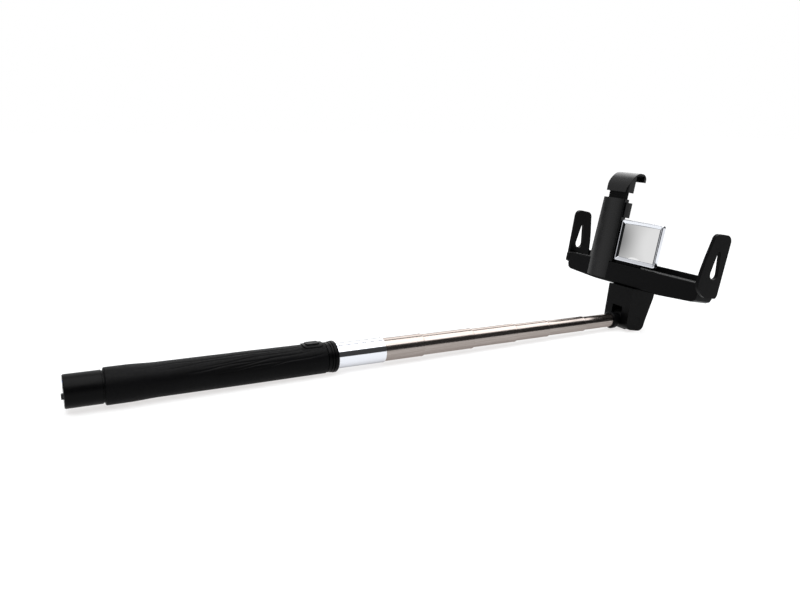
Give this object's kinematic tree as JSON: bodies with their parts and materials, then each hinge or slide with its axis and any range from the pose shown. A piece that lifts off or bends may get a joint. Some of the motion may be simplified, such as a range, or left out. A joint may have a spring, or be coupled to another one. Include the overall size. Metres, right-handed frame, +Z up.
{
  "type": "selfie stick",
  "caption": "Extendable selfie stick: rubber-gripped handle with shutter button, nested steel tubes, and a tilting sprung phone cradle with a small mirror.",
  "frame": {"origin": "under the middle of the overall length, level with the underside of the rubber grip, on the stick's centre plane", "axes": "+X along the stick from the handle's rear face towards the cradle, +Z up through the cradle and the shutter button, Y across the phone's length"},
  "size_m": [0.4176, 0.145, 0.1178],
  "materials": {
    "gloss_black": "semi-gloss moulded ABS",
    "satin_black": "satin moulded ABS",
    "grip_rubber": "soft matte rubber with shallow flowing grooves",
    "pad_rubber": "matte silicone",
    "chrome": "polished chrome plate",
    "brushed_tube": "finely drawn stainless steel",
    "nylon": "natural nylon",
    "steel": "zinc-plated steel",
    "black_screw": "black oxide",
    "mirror": "silvered acrylic",
    "led_lens": "clear blue",
    "circuit": "solder mask",
    "cell_wrap": "pouch foil"
  },
  "bodies": {
    "handle": {"rear_housing": "satin_black", "end_plate": "gloss_black", "switch_body": "steel", "charge_socket": "steel", "status_led": "led_lens", "circuit_board": "circuit", "battery": "cell_wrap", "tube_base_plug": "satin_black", "grip_core": "satin_black", "grip_sleeve": "grip_rubber", "button_bezel": "satin_black", "tact_switch": "steel", "button_board": "circuit", "front_collar": "satin_black", "outer_tube": "chrome"},
    "power_switch": {"switch_knob": "gloss_black"},
    "shutter": {"shutter_button": "satin_black"},
    "section_2": {"tube_2": "brushed_tube", "bush_2": "nylon"},
    "section_3": {"tube_3": "brushed_tube", "bush_3": "nylon"},
    "section_4": {"tube_4": "brushed_tube", "bush_4": "nylon"},
    "section_5": {"tube_5": "brushed_tube", "bush_5": "nylon"},
    "section_6": {"tube_6": "brushed_tube", "bush_6": "nylon"},
    "section_7": {"tube_7": "brushed_tube", "bush_7": "nylon", "end_plug": "satin_black", "plug_rivet": "steel"},
    "cradle": {"neck_fork": "satin_black", "hinge_screw": "steel", "hinge_nut": "steel", "hinge_caps": "satin_black", "friction_washers": "steel", "neck_screws": "steel", "cradle_tray": "satin_black", "tray_pad": "pad_rubber", "clamp_sleeve": "gloss_black", "sleeve_screws": "black_screw", "back_pad": "pad_rubber", "clamp_spring": "steel", "mirror_bracket": "satin_black", "mirror_frame": "chrome", "mirror_glass": "mirror", "mirror_screws": "steel"},
    "jaw": {"jaw_slide": "satin_black", "jaw_hook": "gloss_black", "jaw_pad": "pad_rubber", "jaw_screw": "steel"},
    "arm_left": {"side_arm_left": "satin_black"},
    "arm_right": {"side_arm_right": "satin_black"}
  },
  "joints": [
    {"name": "power_switch_slide", "type": "slide", "parent": "handle", "child": "power_switch", "axis": [0, 1, 0], "range_m": [0, 0.0015]},
    {"name": "shutter_press", "type": "slide", "parent": "handle", "child": "shutter", "axis": [0, 0, -1], "range_m": [0, 0.0005], "stiffness_N_per_m": 1500, "springref_m": -0.0005},
    {"name": "section_2_slide", "type": "slide", "parent": "handle", "child": "section_2", "axis": [1, 0, 0], "range_m": [-0.0267, 0.1006]},
    {"name": "section_3_slide", "type": "slide", "parent": "section_2", "child": "section_3", "axis": [1, 0, 0], "range_m": [-0.0368, 0.0905]},
    {"name": "section_4_slide", "type": "slide", "parent": "section_3", "child": "section_4", "axis": [1, 0, 0], "range_m": [-0.0339, 0.0934]},
    {"name": "section_5_slide", "type": "slide", "parent": "section_4", "child": "section_5", "axis": [1, 0, 0], "range_m": [-0.027, 0.1003]},
    {"name": "section_6_slide", "type": "slide", "parent": "section_5", "child": "section_6", "axis": [1, 0, 0], "range_m": [-0.0317, 0.0956]},
    {"name": "section_7_slide", "type": "slide", "parent": "section_6", "child": "section_7", "axis": [1, 0, 0], "range_m": [-0.0258, 0.1015]},
    {"name": "cradle_tilt", "type": "hinge", "parent": "section_7", "child": "cradle", "pos_m": [0.18289, 0, 0.0104], "axis": [0, 1, 0], "range_deg": [-20, 180]},
    {"name": "jaw_slide_joint", "type": "slide", "parent": "cradle", "child": "jaw", "axis": [0.1736, 0, 0.9848], "range_m": [-0.0048, 0.018], "stiffness_N_per_m": 150, "deforming": ["clamp_spring"]},
    {"name": "arm_left_slide", "type": "slide", "parent": "cradle", "child": "arm_left", "axis": [0, 1, 0], "range_m": [0, 0.012]},
    {"name": "arm_right_slide", "type": "slide", "parent": "cradle", "child": "arm_right", "axis": [0, -1, 0], "range_m": [0, 0.012]}
  ]
}
